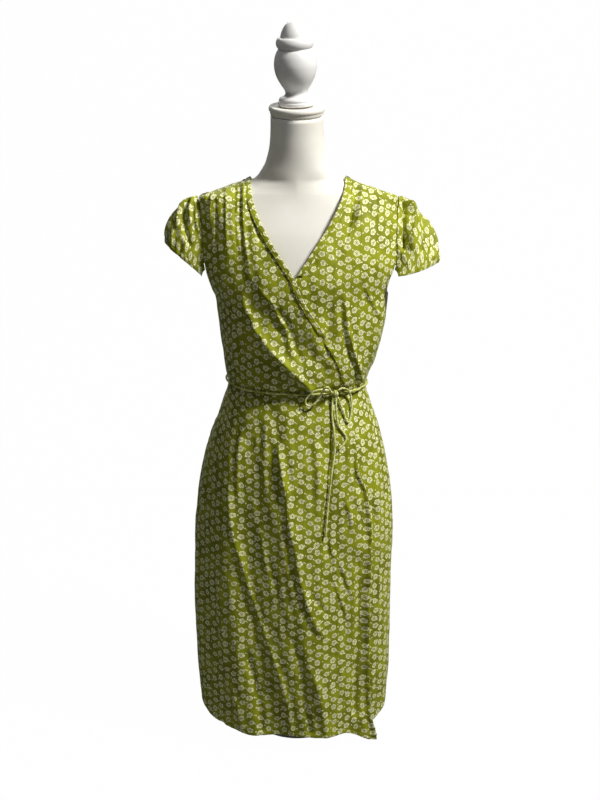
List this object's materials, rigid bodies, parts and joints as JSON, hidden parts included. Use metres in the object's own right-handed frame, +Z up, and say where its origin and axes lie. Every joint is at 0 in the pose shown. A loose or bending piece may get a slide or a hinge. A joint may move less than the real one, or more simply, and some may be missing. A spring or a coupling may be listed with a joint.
{
  "type": "wrap dress on a limbless dress form",
  "caption": "Knee-length flower-printed wrap dress with gathered cap sleeves, V neck and thin waist tie, worn by a limbless dress form with a turned finial on a low round foot",
  "frame": {"origin": "Centre of the stand's flat underside, on the floor", "axes": "+Z up along the stand; the dress's front faces -Y; +X to the wearer's left, which is the viewer's right from the front"},
  "size_m": [0.522, 0.2926, 1.3981],
  "materials": {
    "printed_viscose": "matt crepe viscose with a slight lustre, chartreuse printed with small cream blossoms",
    "form_cover": "smooth stretched off-white cover",
    "white_paint": "turned wood under satin off-white paint",
    "stand_metal": "satin off-white powder coat"
  },
  "bodies": {
    "root": {"bodice_front_right": "printed_viscose", "bodice_front_left": "printed_viscose", "bodice_back": "printed_viscose", "neck_binding_right": "printed_viscose", "neck_binding_left": "printed_viscose", "neck_binding_back": "printed_viscose", "cap_sleeve_right": "printed_viscose", "cap_sleeve_left": "printed_viscose", "skirt_front_right": "printed_viscose", "skirt_front_left": "printed_viscose", "skirt_back": "printed_viscose", "waist_tie": "printed_viscose", "bow_knot": "printed_viscose", "bow_loop_right": "printed_viscose", "bow_loop_left": "printed_viscose", "tie_end_long": "printed_viscose", "tie_end_short": "printed_viscose", "form_torso": "form_cover", "neck_cap": "form_cover", "finial": "white_paint", "stand_pole": "stand_metal", "stand_base": "stand_metal"}
  },
  "joints": []
}
